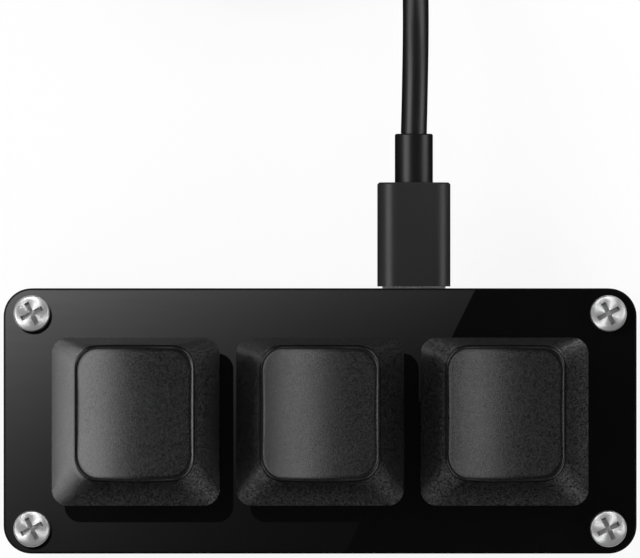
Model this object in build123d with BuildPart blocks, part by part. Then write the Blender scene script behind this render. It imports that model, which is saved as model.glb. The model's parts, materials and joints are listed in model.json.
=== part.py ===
from build123d import *
import os
from math import atan2, cos, dist, pi, radians, sin, sqrt, tan

# Three-key programmable keypad and its cable, in millimetres.
# +Z is up, +Y points to the socket side, and the origin lies on the table under the middle of the body.

os.makedirs("parts", exist_ok=True)

# Shared by all cuts
cut_overrun = 1.0

# Sides of small round pieces and holes that stay out of sight
small_sides = 12

# Key switch: base in the plate, cover, stem, spring and contacts
key_count = 3
key_travel = 4.0
switch_cutout = 14.0
switch_fit = 0.1
switch_seat_depth = 5.0
flange_overlap = 0.8
flange_thickness = 1.0
base_floor = 1.2
base_wall = 1.2
base_collar_wall = 0.35
base_collar_height = 1.0
post_diameter = 3.9
post_floor = 0.8
pin_length = 3.3
pin_width = 0.9
pin_fit = 0.1
fixed_pin_x = -3.81
fixed_contact_margin = 0.81
leaf_pin_x = 2.54
leaf_pin_margin = 0.17
contact_thickness = 0.35
contact_height = 3.0
fixed_contact_length = 3.4
fixed_contact_setback = 1.9
leaf_length = 5.6
leaf_bend = 1.3
leaf_height = 2.0
flange_rim = 0.5
cover_height = 5.6
cover_lean_x = 2.0
cover_lean_y = 1.8
cover_wall = 1.0
cover_roof = 1.2
stem_length_share = 0.5
stem_width_share = 0.44
stem_fit = 0.15
stem_floor_gap = 0.8
stem_crown = 1.4
stem_wing_side_gap = 0.3
stem_wing_width = 3.0
stem_wing_gap = 0.1
pole_diameter = 2.2
pole_fit = 0.2
pole_gap = 0.7
cross_span = 4.1
cross_arm = 1.2
cross_height = 3.6
cross_fit = 0.05
cross_top_gap = 0.2
spring_wire = 0.3
spring_turns = 5
spring_sides = 10
spring_fit = 0.25
spring_seat_gap = 0.05
spring_wall_gap = 0.25

# Keycap: a tapered hollow shell with a dished top
keycap_clearance = 0.6
keycap_wall = 1.1
keycap_roof = 1.3
keycap_height = 8.6
keycap_side_lean = 2.85
keycap_front_lean = 2.885
keycap_back_lean = 1.365
keycap_corner = 2.0
keycap_press_gap = 1.2
keycap_gap = 1.7
keycap_post_wall = 0.65
dish_depth = 0.9

# Body: two plates and a frame between them
end_margin = 14.3
side_margin = 14.25
body_corner = 3.0
frame_wall = 2.0
top_plate_thickness = 1.5
top_plate_chamfer = 0.2
bottom_plate_thickness = 2.0
pin_room = 1.4

# Fasteners and feet
screw_inset_x = 3.05
screw_inset_y = 2.7
screw_shank_diameter = 2.0
screw_hole_fit = 0.15
screw_thread_fit = 0.05
screw_head_diameter = 3.9
screw_head_sides = 16
screw_head_height = 1.3
screw_head_chamfer = 0.45
screw_engagement = 3.2
recess_span = 2.44
recess_arm = 0.5
recess_depth = 0.7
recess_turn = 26.6
standoff_wall = 0.7
standoff_sides = 6
standoff_fit = 0.1
standoff_boss_wall = 1.15
foot_diameter = 7.0
foot_height = 2.5
foot_sides = 16
foot_inset_x = 10.5
foot_inset_y = 6.2
foot_chamfer = 0.4

# Circuit board and what is soldered to it
board_thickness = 1.6
board_gap = 0.3
board_hole_fit = 0.1
chip_size = 5.0
chip_height = 0.9
chip_chamfer = 0.15
crystal_length = 3.2
crystal_width = 2.5
crystal_height = 0.8
crystal_corner = 0.4
capacitor_length = 1.6
capacitor_width = 0.8
capacitor_height = 0.8
capacitor_step_x = 2.6
capacitor_step_y = 1.9
component_gap = 1.2

# Socket in the back wall and the plug in it
socket_offset = 10.1
socket_width = 7.5
socket_height = 2.55
socket_depth = 5.0
socket_wall = 0.3
socket_corner = 0.7
socket_window_fit = 0.2
tongue_width = 3.6
tongue_thickness = 0.6
tongue_length = 3.4
plug_fit = 0.05
plug_shell_wall = 0.25
plug_shell_end_gap = 0.3
plug_gap = 0.2
plug_width = 7.86
plug_height = 5.6
plug_length = 11.2
plug_corner = 2.0
plug_back_chamfer = 0.2
collar_diameter = 4.1
collar_length = 5.24
collar_chamfer = 0.12

# Cord: the lead, the put-away coil, its tie and the tail to the far plug
cord_diameter = 2.8
cord_sides = 6
cord_bend_share = 0.45
coil_quarters = (14, 14)
coil_inner_radius = 9.4
coil_step = 3.3
coil_layer_step = 3.3
coil_samples = 900
tie_thickness = 0.8
tie_width = 8.0
tie_corner = 0.9
tie_fit = 0.3
tail_first_run = 5.6
lead_route = [
    (10.1, 30.89, 10.475),
    (10.1, 39.5, 10.475),
    (10.1, 48.0, 7.2),
    (10.1, 56.5, 2.5),
    (10.1, 64.7, 2.5),
]
tail_route = [
    (10.7, 83.0, 3.8),
    (10.7, 88.6, 3.8),
]
far_collar_diameter = 4.6
far_collar_length = 5.0
far_plug_width = 14.5
far_plug_height = 7.6
far_plug_length = 20.0
far_plug_corner = 2.4
far_plug_chamfer = 0.6
far_shell_width = 12.0
far_shell_height = 4.5
far_shell_length = 12.0
far_shell_wall = 0.35
far_shell_corner = 0.4
far_window_size = 2.0
far_window_pitch = 5.0
far_window_setback = 6.0
far_tongue_thickness = 1.8
far_tongue_fit = 0.05
far_tongue_setback = 0.6

# Sizes that follow from those above
flange_size = switch_cutout + 2 * flange_overlap
base_size = switch_cutout - 2 * switch_fit
cavity_size = base_size - 2 * base_wall
fixed_pin_y = cavity_size / 2 - fixed_contact_margin - fixed_contact_setback - pin_width / 2
leaf_pin_y = cavity_size / 2 - leaf_pin_margin - pin_width / 2
pin_places = [(fixed_pin_x, fixed_pin_y), (leaf_pin_x, leaf_pin_y)]
stem_length = switch_cutout * stem_length_share
stem_width = switch_cutout * stem_width_share
cover_base = flange_size - 2 * flange_rim
cover_hollow_base = cover_base - 2 * cover_wall
cover_hollow_height = cover_height - cover_roof
cover_hollow_share = cover_hollow_height / cover_height
stem_wing_span = cover_hollow_base - 2 * (cover_lean_x * cover_hollow_share + stem_wing_side_gap)
keycap_base = cover_base + 2 * (keycap_clearance + keycap_wall)
keycap_top_width = keycap_base - 2 * keycap_side_lean
key_pitch = keycap_base + keycap_gap
key_places = [(number - (key_count - 1) / 2) * key_pitch for number in range(key_count)]
body_length = (key_count - 1) * key_pitch + 2 * end_margin
body_width = 2 * side_margin
frame_height = switch_seat_depth - top_plate_thickness + pin_length + pin_room
screw_pitch_x = body_length - 2 * screw_inset_x
screw_pitch_y = body_width - 2 * screw_inset_y
standoff_bore_radius = screw_shank_diameter / 2 + screw_thread_fit
standoff_radius = standoff_bore_radius + standoff_wall
boss_radius = standoff_radius + standoff_fit + standoff_boss_wall
inside_length = body_length - 2 * frame_wall
inside_width = body_width - 2 * frame_wall
pole_bore_radius = pole_diameter / 2 + pole_fit
base_collar_radius = pole_bore_radius + base_collar_wall
spring_radius = base_collar_radius + spring_fit + spring_wire / 2
stem_bore_radius = spring_radius + spring_wire / 2 + spring_wall_gap
keycap_post_radius = cross_span / 2 + keycap_post_wall
cord_radius = cord_diameter / 2
coil_side = cord_radius * sqrt(pi)

# Heights from the table up
bottom_plate_z = foot_height
frame_z = bottom_plate_z + bottom_plate_thickness
top_plate_z = frame_z + frame_height
plate_top_z = top_plate_z + top_plate_thickness
board_top_z = plate_top_z - switch_seat_depth
board_z = board_top_z - board_thickness
socket_axis_z = board_top_z + socket_height / 2
pin_end_z = board_top_z - pin_length
floor_top_z = board_top_z + base_floor
flange_top_z = plate_top_z + flange_thickness
cover_top_z = flange_top_z + cover_height
roof_z = cover_top_z - cover_roof
stem_bottom_z = floor_top_z + key_travel + stem_floor_gap
spring_top_z = cover_top_z - stem_crown
pole_end_z = pin_end_z + post_floor + key_travel + pole_gap
keycap_z = flange_top_z + key_travel + keycap_press_gap
keycap_top_z = keycap_z + keycap_height
keycap_ceiling_z = keycap_top_z - dish_depth - keycap_roof


def level(height, x=0, y=0):
    """A horizontal sketch plane whose middle is at x, y."""
    return Plane(origin=(x, y, height))


def along_cable(x, y, height):
    """An upright sketch plane that faces away from the body, across the cable's way."""
    return Plane(origin=(x, y, height), x_dir=(1, 0, 0), z_dir=(0, 1, 0))


def save(builder, name):
    """Label one finished piece and write its file."""
    builder.part.label = name
    export_step(builder.part, f"parts/{name}.step")


def arc_pair(start, start_way, finish, finish_way):
    """Two arcs, tangent to each other, that leave start and reach finish along the given ways."""
    chord = finish - start
    bend = 2 * (start_way.dot(finish_way) - 1)
    lean = chord.dot(start_way + finish_way)
    reach = (lean - sqrt(lean * lean - bend * chord.dot(chord))) / bend
    near = start + start_way * reach
    far = finish - finish_way * reach
    middle = (near + far) / 2
    TangentArc(start, middle, tangent=start_way)
    TangentArc(middle, finish, tangent=(far - near).normalized())


def least_gap(path, samples, skip_share, width):
    """The least distance between the surfaces of two stretches of one wound tube."""
    points = [tuple(path.position_at(number / samples)) for number in range(samples + 1)]
    skip = int(samples * skip_share)
    return min(dist(points[a], points[b])
               for a in range(len(points)) for b in range(a + skip, len(points))) - width


def socket_outline(width, height, corner):
    """A slim rectangle whose two lower corners are cut off."""
    with BuildSketch(mode=Mode.PRIVATE) as outline:
        Rectangle(width, height)
        chamfer(outline.vertices().group_by(Axis.Y)[-1], corner)
    return outline.sketch


# Body
with BuildPart() as bottom_plate:
    with BuildSketch(level(bottom_plate_z)):
        RectangleRounded(body_length, body_width, body_corner)
        with GridLocations(screw_pitch_x, screw_pitch_y, 2, 2):
            RegularPolygon(screw_shank_diameter / 2 + screw_hole_fit, small_sides, mode=Mode.SUBTRACT)
    extrude(amount=bottom_plate_thickness)
save(bottom_plate, "bottom_plate")

with BuildPart() as case_frame:
    with BuildSketch(level(frame_z)):
        RectangleRounded(body_length, body_width, body_corner)
        with GridLocations(screw_pitch_x, screw_pitch_y, 2, 2):
            RegularPolygon(standoff_radius + standoff_fit, small_sides, mode=Mode.SUBTRACT)
    extrude(amount=frame_height)
    with BuildSketch(level(frame_z)):
        Rectangle(inside_length, inside_width)
        with GridLocations(screw_pitch_x, screw_pitch_y, 2, 2):
            Rectangle(2 * boss_radius, 2 * boss_radius, mode=Mode.SUBTRACT)
    extrude(amount=frame_height, mode=Mode.SUBTRACT)
    with BuildSketch(along_cable(socket_offset, inside_width / 2 - cut_overrun, socket_axis_z)):
        add(socket_outline(socket_width + 2 * socket_window_fit,
                           socket_height + 2 * socket_window_fit, socket_corner))
    extrude(amount=frame_wall + 2 * cut_overrun, mode=Mode.SUBTRACT)
save(case_frame, "case_frame")

with BuildPart() as top_plate:
    with BuildSketch(level(top_plate_z)):
        RectangleRounded(body_length, body_width, body_corner)
        with GridLocations(screw_pitch_x, screw_pitch_y, 2, 2):
            RegularPolygon(screw_shank_diameter / 2 + screw_hole_fit, small_sides, mode=Mode.SUBTRACT)
        with Locations(*[(key_x, 0) for key_x in key_places]):
            Rectangle(switch_cutout, switch_cutout, mode=Mode.SUBTRACT)
    extrude(amount=top_plate_thickness)
    chamfer(top_plate.faces().sort_by(Axis.Z)[-1].outer_wire().edges(), top_plate_chamfer)
save(top_plate, "top_plate")

# Fasteners and feet
with BuildPart() as standoffs:
    with BuildSketch(level(frame_z)):
        with GridLocations(screw_pitch_x, screw_pitch_y, 2, 2):
            RegularPolygon(standoff_radius, standoff_sides)
            RegularPolygon(standoff_bore_radius, small_sides, mode=Mode.SUBTRACT)
    extrude(amount=frame_height)
save(standoffs, "standoffs")


def make_screws(seat, plate_thickness, name):
    """Four pan-head screws whose heads stand on a seat plane, with a cross recess in each."""
    outward = Axis((0, 0, 0), seat.z_dir)
    with BuildPart() as screws:
        with BuildSketch(seat):
            with GridLocations(screw_pitch_x, screw_pitch_y, 2, 2):
                RegularPolygon(screw_head_diameter / 2, screw_head_sides)
        extrude(amount=screw_head_height)
        chamfer(screws.edges().group_by(outward)[-1], screw_head_chamfer)
        with BuildSketch(seat.offset(screw_head_height)):
            with GridLocations(screw_pitch_x, screw_pitch_y, 2, 2):
                Rectangle(recess_span, recess_arm, rotation=recess_turn)
                Rectangle(recess_arm, recess_span, rotation=recess_turn)
        extrude(amount=-recess_depth, mode=Mode.SUBTRACT)
        with BuildSketch(seat):
            with GridLocations(screw_pitch_x, screw_pitch_y, 2, 2):
                RegularPolygon(screw_shank_diameter / 2, small_sides)
        extrude(amount=-(plate_thickness + screw_engagement))
    save(screws, name)


make_screws(level(plate_top_z), top_plate_thickness, "top_screws")
under_body = Plane(origin=(0, 0, bottom_plate_z), x_dir=(1, 0, 0), z_dir=(0, 0, -1))
make_screws(under_body, bottom_plate_thickness, "bottom_screws")

with BuildPart() as rubber_feet:
    with BuildSketch(under_body):
        with GridLocations(body_length - 2 * foot_inset_x, body_width - 2 * foot_inset_y, 2, 2):
            RegularPolygon(foot_diameter / 2, foot_sides)
    extrude(amount=foot_height)
    chamfer(rubber_feet.edges().group_by(Axis.Z)[0], foot_chamfer)
save(rubber_feet, "rubber_feet")

# Circuit board
with BuildPart() as circuit_board:
    with BuildSketch(level(board_z)):
        Rectangle(inside_length - 2 * board_gap, inside_width - 2 * board_gap)
        with GridLocations(screw_pitch_x, screw_pitch_y, 2, 2):
            Rectangle(2 * (boss_radius + board_gap), 2 * (boss_radius + board_gap), mode=Mode.SUBTRACT)
        with Locations(*[(key_x, 0) for key_x in key_places]):
            RegularPolygon(post_diameter / 2 + board_hole_fit, small_sides, mode=Mode.SUBTRACT)
        for pin_x, pin_y in pin_places:
            with Locations(*[(key_x + pin_x, pin_y) for key_x in key_places]):
                Rectangle(pin_width + 2 * board_hole_fit, pin_width + 2 * board_hole_fit, mode=Mode.SUBTRACT)
    extrude(amount=board_thickness)
save(circuit_board, "circuit_board")

chip_x = (key_places[0] + key_places[1]) / 2
with BuildPart() as microcontroller:
    with BuildSketch(level(board_top_z, chip_x)):
        Rectangle(chip_size, chip_size)
    extrude(amount=chip_height)
    chamfer(microcontroller.faces().sort_by(Axis.Z)[-1].edges(), chip_chamfer)
save(microcontroller, "microcontroller")

crystal_y = (chip_size + crystal_width) / 2 + component_gap
with BuildPart() as crystal:
    with BuildSketch(level(board_top_z, chip_x, crystal_y)):
        Rectangle(crystal_length, crystal_width)
    extrude(amount=crystal_height)
    chamfer(crystal.edges().filter_by(Axis.Z), crystal_corner)
save(crystal, "crystal")

with BuildPart() as capacitors:
    with BuildSketch(level(board_top_z, (key_places[1] + key_places[2]) / 2)):
        with GridLocations(capacitor_step_x, capacitor_step_y, 2, 4):
            Rectangle(capacitor_length, capacitor_width)
    extrude(amount=capacitor_height)
save(capacitors, "capacitors")


# Socket, flush with the back of the body
socket_hollow_width = socket_width - 2 * socket_wall
socket_hollow_height = socket_height - 2 * socket_wall
socket_back_y = body_width / 2 - socket_depth
with BuildPart() as usb_socket_shell:
    with BuildSketch(along_cable(socket_offset, socket_back_y, socket_axis_z)):
        add(socket_outline(socket_width, socket_height, socket_corner))
    extrude(amount=socket_depth)
    with BuildSketch(along_cable(socket_offset, socket_back_y + socket_wall, socket_axis_z)):
        add(socket_outline(socket_hollow_width, socket_hollow_height, socket_corner))
    extrude(amount=socket_depth, mode=Mode.SUBTRACT)
save(usb_socket_shell, "usb_socket_shell")

with BuildPart() as usb_socket_tongue:
    with BuildSketch(along_cable(socket_offset, socket_back_y + socket_wall, socket_axis_z)):
        Rectangle(tongue_width, tongue_thickness)
    extrude(amount=tongue_length)
save(usb_socket_tongue, "usb_socket_tongue")


# Key switches
def make_switch_base(key_x, name):
    """Open box with a flange on the plate, a collar for the spring and a post into the board."""
    with BuildPart() as base:
        with BuildSketch(level(board_top_z, key_x)):
            Rectangle(base_size, base_size)
        extrude(amount=switch_seat_depth)
        with BuildSketch(level(plate_top_z, key_x)):
            Rectangle(flange_size, flange_size)
        extrude(amount=flange_thickness)
        with BuildSketch(level(floor_top_z, key_x)):
            Rectangle(cavity_size, cavity_size)
        extrude(amount=flange_top_z - floor_top_z, mode=Mode.SUBTRACT)
        with BuildSketch(level(board_top_z, key_x)):
            RegularPolygon(post_diameter / 2, small_sides)
        extrude(amount=-pin_length)
        with BuildSketch(level(floor_top_z, key_x)):
            RegularPolygon(base_collar_radius, small_sides)
        extrude(amount=base_collar_height)
        with BuildSketch(level(pin_end_z + post_floor, key_x)):
            RegularPolygon(pole_bore_radius, small_sides)
        extrude(amount=flange_top_z - pin_end_z - post_floor, mode=Mode.SUBTRACT)
        for pin_x, pin_y in pin_places:
            with BuildSketch(level(board_top_z, key_x + pin_x, pin_y)):
                Rectangle(pin_width + 2 * pin_fit, pin_width + 2 * pin_fit)
            extrude(amount=base_floor, mode=Mode.SUBTRACT)
    save(base, name)


def make_fixed_contact(key_x, name):
    """Upright contact plate on a foot that ends in a solder pin."""
    pin_x = key_x + fixed_pin_x
    with BuildPart() as contact:
        with BuildSketch(level(pin_end_z, pin_x, fixed_pin_y)):
            Rectangle(pin_width, pin_width)
        extrude(amount=floor_top_z - pin_end_z)
        with BuildSketch(level(floor_top_z, pin_x - pin_width / 2, fixed_pin_y - pin_width / 2)):
            Rectangle(pin_width, fixed_contact_setback + pin_width, align=Align.MIN)
        extrude(amount=contact_thickness)
        with BuildSketch(level(floor_top_z, pin_x - pin_width / 2,
                               fixed_pin_y + pin_width / 2 + fixed_contact_setback - contact_thickness)):
            Rectangle(fixed_contact_length, contact_thickness, align=Align.MIN)
        extrude(amount=contact_height)
    save(contact, name)


def make_contact_leaf(key_x, name):
    """Springy strip, bent once towards the stem, on its own solder pin."""
    pin_x = key_x + leaf_pin_x
    with BuildPart() as leaf:
        with BuildSketch(level(pin_end_z, pin_x, leaf_pin_y)):
            Rectangle(pin_width, pin_width)
        extrude(amount=floor_top_z + contact_thickness - pin_end_z)
        with BuildSketch(level(floor_top_z, pin_x, leaf_pin_y)):
            with BuildLine() as strip:
                Polyline((0, 0), (-leaf_bend, -leaf_bend), (-leaf_length, -leaf_bend))
            trace(strip.line, contact_thickness)
        extrude(amount=leaf_height)
    save(leaf, name)


def tapered_block(foot, size, height, side_lean, front_lean, back_lean):
    """Square block on a foot plane, each of its four sides planed back by its lean over the height."""
    with BuildPart() as block:
        with BuildSketch(foot):
            Rectangle(size, size)
        extrude(amount=height)
        sides = [(1, 0, side_lean), (-1, 0, side_lean), (0, -1, front_lean), (0, 1, back_lean)]
        for out_x, out_y, lean in sides:
            edge = foot.origin + Vector(out_x, out_y, 0) * size / 2
            face = Plane(origin=edge, z_dir=(out_x * height, out_y * height, lean))
            split(bisect_by=face, keep=Keep.BOTTOM)
    return block.part


def make_switch_cover(key_x, name):
    """Tapered hood on the flange, with an opening in its roof for the stem."""
    foot = level(flange_top_z, key_x)
    hollow_lean_y = cover_lean_y * cover_hollow_share
    shell = tapered_block(foot, cover_base, cover_height, cover_lean_x, cover_lean_y, cover_lean_y)
    hollow = tapered_block(foot, cover_hollow_base, cover_hollow_height, cover_lean_x * cover_hollow_share,
                           hollow_lean_y, hollow_lean_y)
    with BuildPart() as cover:
        add(shell)
        add(hollow, mode=Mode.SUBTRACT)
        with BuildSketch(level(roof_z, key_x)):
            Rectangle(stem_length + 2 * stem_fit, stem_width + 2 * stem_fit)
        extrude(amount=cover_roof, mode=Mode.SUBTRACT)
    save(cover, name)


def make_key_stem(key_x, name):
    """Sliding block with stop wings, a spring bore round its pole and a cross for the keycap."""
    with BuildPart() as stem:
        with BuildSketch(level(stem_bottom_z, key_x)):
            Rectangle(stem_length, stem_width)
        extrude(amount=cover_top_z - stem_bottom_z)
        with BuildSketch(level(stem_bottom_z, key_x)):
            Rectangle(stem_wing_span, stem_wing_width)
        extrude(amount=roof_z - stem_wing_gap - stem_bottom_z)
        with BuildSketch(level(stem_bottom_z, key_x)):
            RegularPolygon(stem_bore_radius, small_sides)
        extrude(amount=spring_top_z - stem_bottom_z, mode=Mode.SUBTRACT)
        with BuildSketch(level(pole_end_z, key_x)):
            RegularPolygon(pole_diameter / 2, small_sides)
        extrude(amount=spring_top_z - pole_end_z)
        with BuildSketch(level(cover_top_z, key_x)):
            Rectangle(cross_span, cross_arm)
            Rectangle(cross_arm, cross_span)
        extrude(amount=cross_height)
    save(stem, name)


def make_switch_spring(key_x, name):
    """Square-wire helix from the base's floor to the top of the stem's bore, in short straight chords."""
    foot_z = floor_top_z + spring_wire / 2 + spring_seat_gap
    rise = spring_top_z - spring_wire / 2 - spring_seat_gap - foot_z
    chords = spring_sides * spring_turns
    corners = []
    for number in range(chords + 1):
        angle = 2 * pi * number / spring_sides
        corners.append(Vector(key_x + spring_radius * cos(angle), spring_radius * sin(angle),
                              foot_z + rise * number / chords))
    with BuildPart() as spring:
        with BuildLine() as helix:
            Polyline(*corners)
        with BuildSketch(Plane(origin=corners[0], x_dir=(1, 0, 0), z_dir=corners[1] - corners[0])):
            Rectangle(spring_wire, spring_wire)
        sweep(path=helix.wires()[0], transition=Transition.RIGHT)
    save(spring, name)


def make_keycap(key_x, name):
    """Tapered shell, open below, with a cylindrical dish on top and a slotted post inside."""
    foot = level(keycap_z, key_x)
    hollow_height = keycap_ceiling_z - keycap_z
    hollow_share = hollow_height / keycap_height
    half_top = keycap_top_width / 2
    dish_radius = (half_top ** 2 + dish_depth ** 2) / (2 * dish_depth)
    shell = tapered_block(foot, keycap_base, keycap_height,
                          keycap_side_lean, keycap_front_lean, keycap_back_lean)
    hollow = tapered_block(foot, keycap_base - 2 * keycap_wall, hollow_height,
                           keycap_side_lean * hollow_share, keycap_front_lean * hollow_share,
                           keycap_back_lean * hollow_share)
    with BuildPart() as keycap:
        add(shell)
        fillet(keycap.edges().group_by(Axis.Z)[1], keycap_corner)
        with Locations((key_x, 0, keycap_top_z - dish_depth + dish_radius)):
            Cylinder(dish_radius, keycap_base + cut_overrun, rotation=(90, 0, 0), mode=Mode.SUBTRACT)
        add(hollow, mode=Mode.SUBTRACT)
        with BuildSketch(level(cover_top_z, key_x)):
            RegularPolygon(keycap_post_radius, small_sides)
        extrude(amount=keycap_ceiling_z - cover_top_z)
        with BuildSketch(level(cover_top_z, key_x)):
            Rectangle(cross_span + 2 * cross_fit, cross_arm + 2 * cross_fit)
            Rectangle(cross_arm + 2 * cross_fit, cross_span + 2 * cross_fit)
        extrude(amount=cross_height + cross_top_gap, mode=Mode.SUBTRACT)
    save(keycap, name)


for key_number, key_x in enumerate(key_places, 1):
    make_switch_base(key_x, f"switch_base_{key_number}")
    make_fixed_contact(key_x, f"fixed_contact_{key_number}")
    make_contact_leaf(key_x, f"contact_leaf_{key_number}")
    make_switch_cover(key_x, f"switch_cover_{key_number}")
    make_key_stem(key_x, f"key_stem_{key_number}")
    make_switch_spring(key_x, f"switch_spring_{key_number}")
    make_keycap(key_x, f"keycap_{key_number}")

# Plug in the socket
plug_front_y = body_width / 2 + plug_gap
plug_shell_length = socket_depth - socket_wall - plug_shell_end_gap + plug_gap
shell_width = socket_hollow_width - 2 * plug_fit
shell_height = socket_hollow_height - 2 * plug_fit
with BuildPart() as usb_plug_shell:
    with BuildSketch(along_cable(socket_offset, plug_front_y - plug_shell_length, socket_axis_z)):
        add(socket_outline(shell_width, shell_height, socket_corner))
        add(socket_outline(shell_width - 2 * plug_shell_wall, shell_height - 2 * plug_shell_wall,
                           socket_corner), mode=Mode.SUBTRACT)
    extrude(amount=plug_shell_length)
save(usb_plug_shell, "usb_plug_shell")

with BuildPart() as usb_plug_body:
    with BuildSketch(along_cable(socket_offset, plug_front_y, socket_axis_z)):
        RectangleRounded(plug_width, plug_height, plug_corner)
    extrude(amount=plug_length)
    chamfer(usb_plug_body.faces().sort_by(Axis.Y)[-1].edges(), plug_back_chamfer)
save(usb_plug_body, "usb_plug_body")

with BuildPart() as usb_plug_collar:
    with BuildSketch(along_cable(socket_offset, plug_front_y + plug_length, socket_axis_z)):
        Circle(collar_diameter / 2)
    extrude(amount=collar_length)
    chamfer(usb_plug_collar.faces().sort_by(Axis.Y)[-1].edges(), collar_chamfer)
save(usb_plug_collar, "usb_plug_collar")


def make_cord(points, name):
    """Faceted tube on straight runs and on arcs as large as the two runs beside each allow."""
    places = [Vector(*point) for point in points]
    runs = [after - before for before, after in zip(places, places[1:])]
    radii = []
    for before, after in zip(runs, runs[1:]):
        half_turn = radians(before.get_angle(after)) / 2
        radii.append(cord_bend_share * min(before.length, after.length) / tan(half_turn))
    with BuildPart() as cord:
        with BuildLine() as path:
            FilletPolyline(*places, radius=radii)
        with BuildSketch(Plane(origin=places[0], z_dir=runs[0])) as section:
            RegularPolygon(cord_radius, cord_sides)
        sweep(path=path.wires()[0])
    length = path.wires()[0].length
    print(name, "length", round(length, 1), "radii", [round(radius, 1) for radius in radii],
          "volume over section times length", round(cord.part.volume / (section.sketch.area * length), 4))
    save(cord, name)


# Coil: flat layers that spiral in and out in turn, from the lead's end to the tail's start
coil_outer_radius = coil_inner_radius + coil_quarters[0] * coil_step / 4
coil_end_radius = coil_inner_radius + coil_quarters[-1] * coil_step / 4
coil_slope = coil_step / (2 * pi)
start_angle = -atan2(coil_slope, coil_outer_radius)
finish_angle = sum(coil_quarters) * pi / 2 + atan2(coil_slope, coil_end_radius)
coil_entry = Vector(*lead_route[-1])
coil_centre = (coil_entry
               + Vector(-coil_outer_radius * cos(start_angle),
                        cord_diameter - coil_outer_radius * sin(start_angle), 0))


def coil_turns():
    """Places and ways at each quarter turn of the coil."""
    spans = sum(coil_quarters)
    turns = []
    done = 0
    for layer, quarters in enumerate(coil_quarters):
        inward = layer % 2 == 0
        for number in range(quarters + (layer == len(coil_quarters) - 1)):
            angle = start_angle + (finish_angle - start_angle) * (done + number) / spans
            left = quarters - number if inward else number
            radius = coil_inner_radius + left * coil_step / 4
            height = layer * coil_layer_step
            slope = -coil_slope if inward else coil_slope
            climb = 0
            if number == 0 and layer > 0:
                height -= coil_layer_step / 2
                slope = 0
                climb = 3 * coil_layer_step / (2 * pi)
            outward = Vector(cos(angle), sin(angle), 0)
            onward = Vector(-sin(angle), cos(angle), 0)
            place = coil_centre + outward * radius + Vector(0, 0, height)
            turns.append((place, (outward * slope + onward * radius + Vector(0, 0, climb)).normalized()))
        done += quarters
    return turns


turns = coil_turns()
coil_exit = turns[-1][0] + turns[-1][1] * cord_diameter
with BuildPart() as cord_coil:
    with BuildLine() as winding:
        Line(coil_entry, turns[0][0])
        for (start, start_way), (finish, finish_way) in zip(turns, turns[1:]):
            arc_pair(start, start_way, finish, finish_way)
        Line(turns[-1][0], coil_exit)
    with BuildSketch(Plane(origin=coil_entry, x_dir=(1, 0, 0), z_dir=turns[0][1])):
        Rectangle(coil_side, coil_side)
    sweep(path=winding.wires()[0])
coil_path = winding.wires()[0]
half_turn_share = 2 / sum(coil_quarters)
print("cord_coil length", round(coil_path.length, 1), "least gap to itself",
      round(least_gap(coil_path, coil_samples, half_turn_share, cord_diameter), 3))
save(cord_coil, "cord_coil")

make_cord(lead_route, "cord")
tail_turn = coil_exit + turns[-1][1] * tail_first_run
make_cord([tuple(coil_exit), tuple(tail_turn)] + tail_route, "cord_tail")

# Tie round the coil, on the side away from the lead
tie_inner = sqrt((coil_inner_radius - cord_radius) ** 2 - (tie_width / 2) ** 2) - tie_fit
tie_outer = coil_outer_radius + cord_radius + tie_fit
tie_bottom_z = coil_entry.Z - cord_radius - tie_fit
tie_hollow_height = (len(coil_quarters) - 1) * coil_layer_step + cord_diameter + 2 * tie_fit
tie_plane = along_cable(coil_centre.X - (tie_inner + tie_outer) / 2, coil_centre.Y,
                        tie_bottom_z + tie_hollow_height / 2)
with BuildPart() as cord_tie:
    with BuildSketch(tie_plane):
        Rectangle(tie_outer - tie_inner + 2 * tie_thickness, tie_hollow_height + 2 * tie_thickness)
    extrude(amount=tie_width / 2, both=True)
    chamfer(cord_tie.edges().filter_by(Axis.Y), tie_corner)
    with BuildSketch(tie_plane):
        Rectangle(tie_outer - tie_inner, tie_hollow_height)
    extrude(amount=tie_width / 2, both=True, mode=Mode.SUBTRACT)
save(cord_tie, "cord_tie")

# Far plug at the end of the tail, lying on the table
far_x, far_y, far_z = tail_route[-1]
far_body_y = far_y + far_collar_length
far_shell_y = far_body_y + far_plug_length
with BuildPart() as far_plug_collar:
    with BuildSketch(along_cable(far_x, far_y, far_z)):
        RegularPolygon(far_collar_diameter / 2, small_sides)
    extrude(amount=far_collar_length)
save(far_plug_collar, "far_plug_collar")

with BuildPart() as far_plug_body:
    with BuildSketch(along_cable(far_x, far_body_y, far_z)):
        RectangleRounded(far_plug_width, far_plug_height, far_plug_corner)
    extrude(amount=far_plug_length)
    chamfer(far_plug_body.faces().sort_by(Axis.Y)[0].edges(), far_plug_chamfer)
save(far_plug_body, "far_plug_body")

far_hollow_width = far_shell_width - 2 * far_shell_wall
far_hollow_height = far_shell_height - 2 * far_shell_wall
with BuildPart() as far_plug_shell:
    with BuildSketch(along_cable(far_x, far_shell_y, far_z)):
        RectangleRounded(far_shell_width, far_shell_height, far_shell_corner)
        Rectangle(far_hollow_width, far_hollow_height, mode=Mode.SUBTRACT)
    extrude(amount=far_shell_length)
    with BuildSketch(level(far_z - far_shell_height, far_x, far_shell_y + far_window_setback)):
        with GridLocations(far_window_pitch, 0, 2, 1):
            Rectangle(far_window_size, far_window_size)
    extrude(amount=2 * far_shell_height, mode=Mode.SUBTRACT)
save(far_plug_shell, "far_plug_shell")

tongue_z = far_z - far_hollow_height / 2 + far_tongue_fit + far_tongue_thickness / 2
with BuildPart() as far_plug_tongue:
    with BuildSketch(along_cable(far_x, far_shell_y, tongue_z)):
        Rectangle(far_hollow_width - 2 * far_tongue_fit, far_tongue_thickness)
    extrude(amount=far_shell_length - far_tongue_setback)
save(far_plug_tongue, "far_plug_tongue")
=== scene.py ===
import json
from math import atan2, cos, pi, radians, sin, sqrt

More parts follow.
